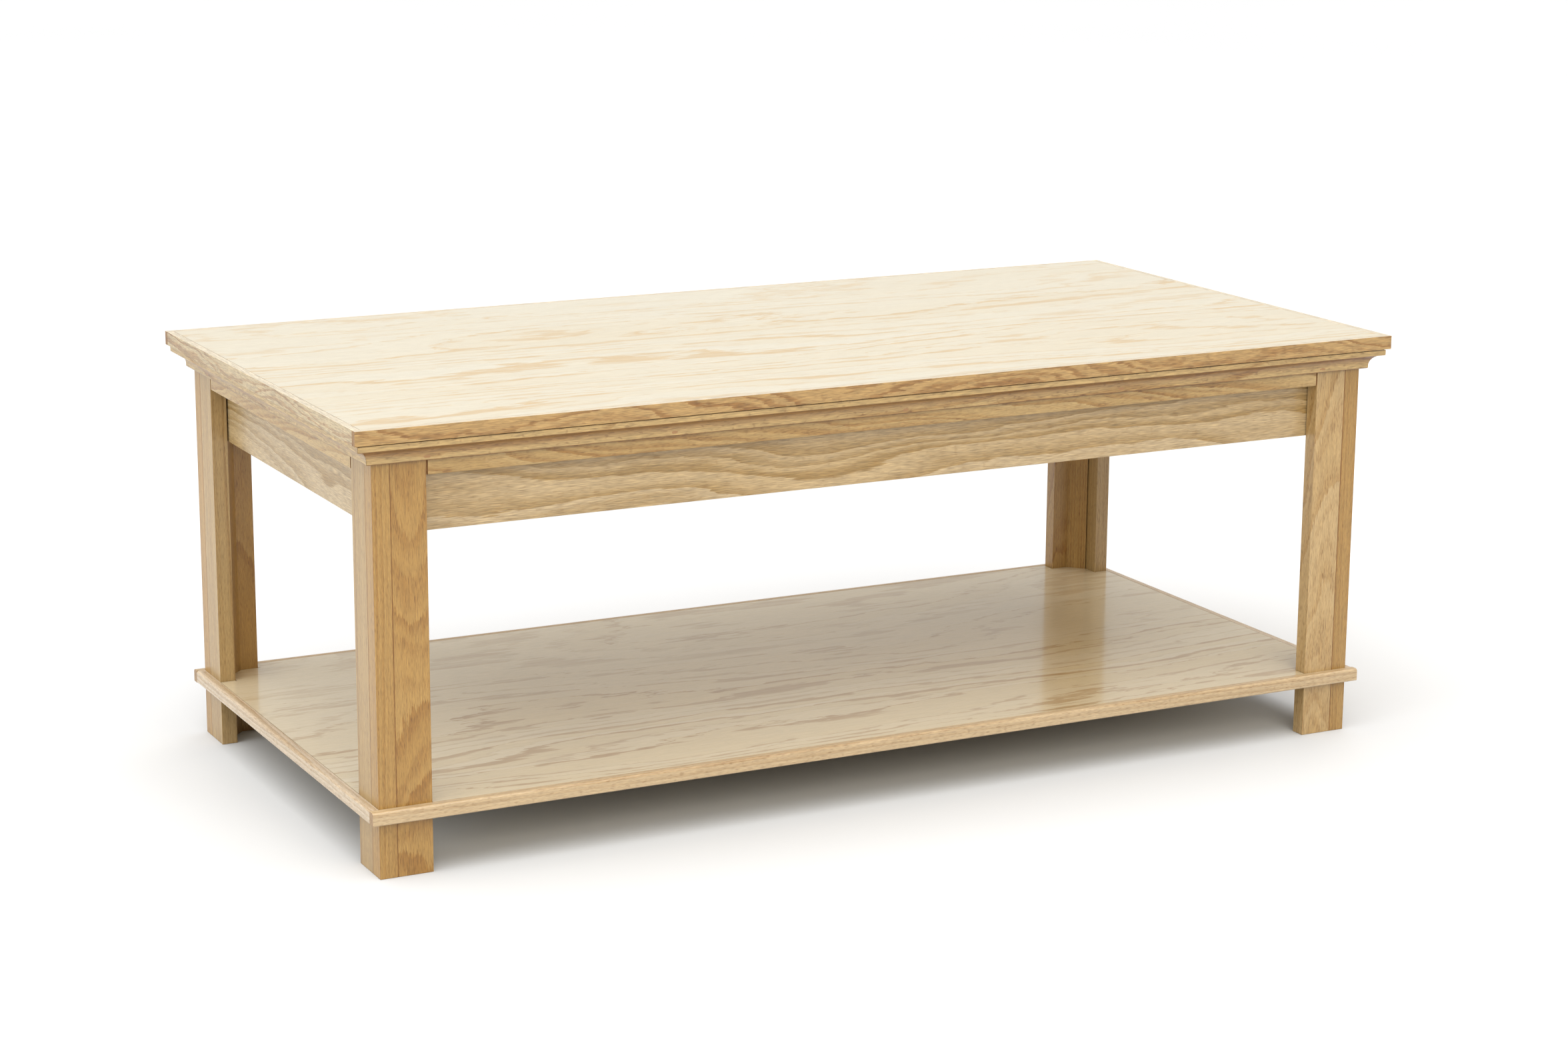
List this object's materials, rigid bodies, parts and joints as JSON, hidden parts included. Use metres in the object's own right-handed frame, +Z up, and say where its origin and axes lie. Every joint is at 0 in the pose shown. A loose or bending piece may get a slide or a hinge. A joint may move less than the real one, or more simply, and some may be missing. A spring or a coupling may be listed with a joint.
{
  "type": "lift top coffee table",
  "caption": "Oak coffee table with a lifting top over a shallow hidden compartment, L-section legs, cove moulding and a low shelf.",
  "frame": {"origin": "on the floor under the middle of the table", "axes": "+X to the right along the table's length, +Y to the back, away from the person it rises towards, +Z up"},
  "size_m": [1.2192, 0.6096, 0.46],
  "materials": {
    "oak_top_veneer": "satin clear-coated oak veneer",
    "oak_edging": "satin clear-coated solid oak",
    "oak_leg": "satin clear-coated solid oak",
    "oak_apron": "satin clear-coated oak veneer",
    "oak_rail": "satin clear-coated solid oak",
    "oak_moulding": "satin clear-coated solid oak",
    "oak_shelf_veneer": "semi-gloss clear-coated oak veneer",
    "plywood": "sealed birch plywood",
    "black_steel": "black powder coat",
    "zinc_steel": "bright zinc plate",
    "spring_steel": "oiled spring wire",
    "grey_felt": "self-adhesive felt",
    "wood_filler": "glue and sanded wood filler"
  },
  "bodies": {
    "base": {"leg_post_front_left": "oak_leg", "leg_long_wing_front_left": "oak_leg", "leg_end_wing_front_left": "oak_leg", "leg_glue_block_front_left": "oak_leg", "leg_post_front_right": "oak_leg", "leg_long_wing_front_right": "oak_leg", "leg_end_wing_front_right": "oak_leg", "leg_glue_block_front_right": "oak_leg", "leg_post_back_left": "oak_leg", "leg_long_wing_back_left": "oak_leg", "leg_end_wing_back_left": "oak_leg", "leg_glue_block_back_left": "oak_leg", "leg_post_back_right": "oak_leg", "leg_long_wing_back_right": "oak_leg", "leg_end_wing_back_right": "oak_leg", "leg_glue_block_back_right": "oak_leg", "apron_front": "oak_apron", "filler_rail_front": "oak_rail", "cove_moulding_front": "oak_moulding", "shelf_edging_front": "oak_edging", "apron_right": "oak_apron", "filler_rail_right": "oak_rail", "cove_moulding_right": "oak_moulding", "shelf_edging_right": "oak_edging", "apron_back": "oak_apron", "filler_rail_back": "oak_rail", "cove_moulding_back": "oak_moulding", "shelf_edging_back": "oak_edging", "apron_left": "oak_apron", "filler_rail_left": "oak_rail", "cove_moulding_left": "oak_moulding", "shelf_edging_left": "oak_edging", "shelf_panel": "oak_shelf_veneer", "compartment_floor": "plywood", "lift_base_plate_right": "black_steel", "pin_front_lower_right": "zinc_steel", "pin_rear_lower_right": "zinc_steel", "lift_spring_right": "spring_steel", "lift_base_plate_left": "black_steel", "pin_front_lower_left": "zinc_steel", "pin_rear_lower_left": "zinc_steel", "lift_spring_left": "spring_steel"},
    "front_arms": {"lift_front_arm_right": "black_steel", "lift_front_arm_left": "black_steel", "lift_cross_bar": "black_steel"},
    "rear_arm_right": {"lift_rear_arm_right": "black_steel"},
    "rear_arm_left": {"lift_rear_arm_left": "black_steel"},
    "top": {"top_panel": "oak_top_veneer", "top_edging_front": "oak_edging", "top_edging_right": "oak_edging", "top_edging_back": "oak_edging", "top_edging_left": "oak_edging", "lift_top_plate_right": "black_steel", "lift_top_plate_left": "black_steel", "pin_front_upper_right": "zinc_steel", "pin_front_upper_left": "zinc_steel", "pin_rear_upper_right": "zinc_steel", "pin_rear_upper_left": "zinc_steel"}
  },
  "joints": [
    {"name": "lift", "type": "hinge", "parent": "base", "child": "front_arms", "pos_m": [0, -0.085, 0.408], "axis": [1, 0, 0], "range_deg": [0, 115], "deforming": ["lift_spring_right", "lift_spring_left"]},
    {"name": "top_level", "type": "hinge", "parent": "front_arms", "child": "top", "pos_m": [0, 0.14413, 0.42805], "axis": [1, 0, 0], "range_deg": [-115, 0]},
    {"name": "rear_arm_right_swing", "type": "hinge", "parent": "base", "child": "rear_arm_right", "pos_m": [0, -0.025, 0.376], "axis": [1, 0, 0], "range_deg": [0, 115]},
    {"name": "rear_arm_left_swing", "type": "hinge", "parent": "base", "child": "rear_arm_left", "pos_m": [0, -0.025, 0.376], "axis": [1, 0, 0], "range_deg": [0, 115]}
  ],
  "couplings": [
    {"joint": "top_level", "follows": "lift", "ratio": -1},
    {"joint": "rear_arm_right_swing", "follows": "lift", "ratio": 1},
    {"joint": "rear_arm_left_swing", "follows": "lift", "ratio": 1}
  ]
}
